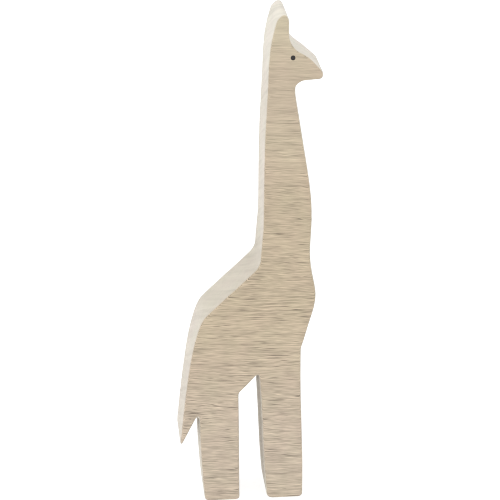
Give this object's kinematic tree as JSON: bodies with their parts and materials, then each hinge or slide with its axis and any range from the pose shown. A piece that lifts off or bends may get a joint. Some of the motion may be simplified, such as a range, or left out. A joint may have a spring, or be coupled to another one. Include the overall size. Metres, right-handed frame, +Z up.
{
  "type": "wooden giraffe figure",
  "caption": "Flat standing giraffe sawn from one beech board, with eased edges, a hanging tail, blunt ear and small dark eyes, resting on level feet.",
  "frame": {"origin": "on the ground, in the middle of the figure's length and of the board's thickness", "axes": "+X towards the head, +Y across the board to the animal's left side, +Z up"},
  "size_m": [0.0506, 0.02, 0.184],
  "materials": {
    "beech": "fine sanded, unfinished, pale, with short dark ray flecks",
    "blackened_wood": "black, matt"
  },
  "bodies": {
    "root": {"giraffe_body": "beech", "eye_right": "blackened_wood", "eye_left": "blackened_wood"}
  },
  "joints": []
}
